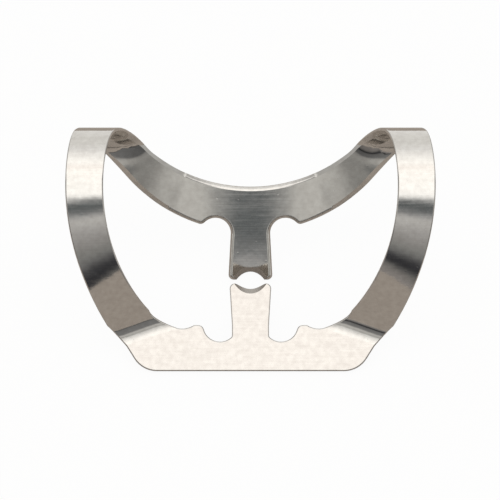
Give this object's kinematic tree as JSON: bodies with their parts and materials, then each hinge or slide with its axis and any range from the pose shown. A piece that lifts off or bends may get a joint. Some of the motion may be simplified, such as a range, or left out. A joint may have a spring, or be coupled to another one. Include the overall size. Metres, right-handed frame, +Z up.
{
  "type": "rubber dam clamp",
  "caption": "Double-bow rubber dam clamp bent from one steel strip, with a flat front jaw and a curved back jaw whose hollow-ground prongs grip a tooth.",
  "frame": {"origin": "middle of the bounding box on the floor the clamp stands on", "axes": "+X to the right across both bows, +Y from the front jaw to the back jaw, +Z up"},
  "size_m": [0.0316, 0.0178, 0.0161],
  "materials": {
    "steel": "tumbled and polished stainless spring steel with fine rolling marks"
  },
  "bodies": {
    "root": {"clamp": "steel"}
  },
  "joints": []
}
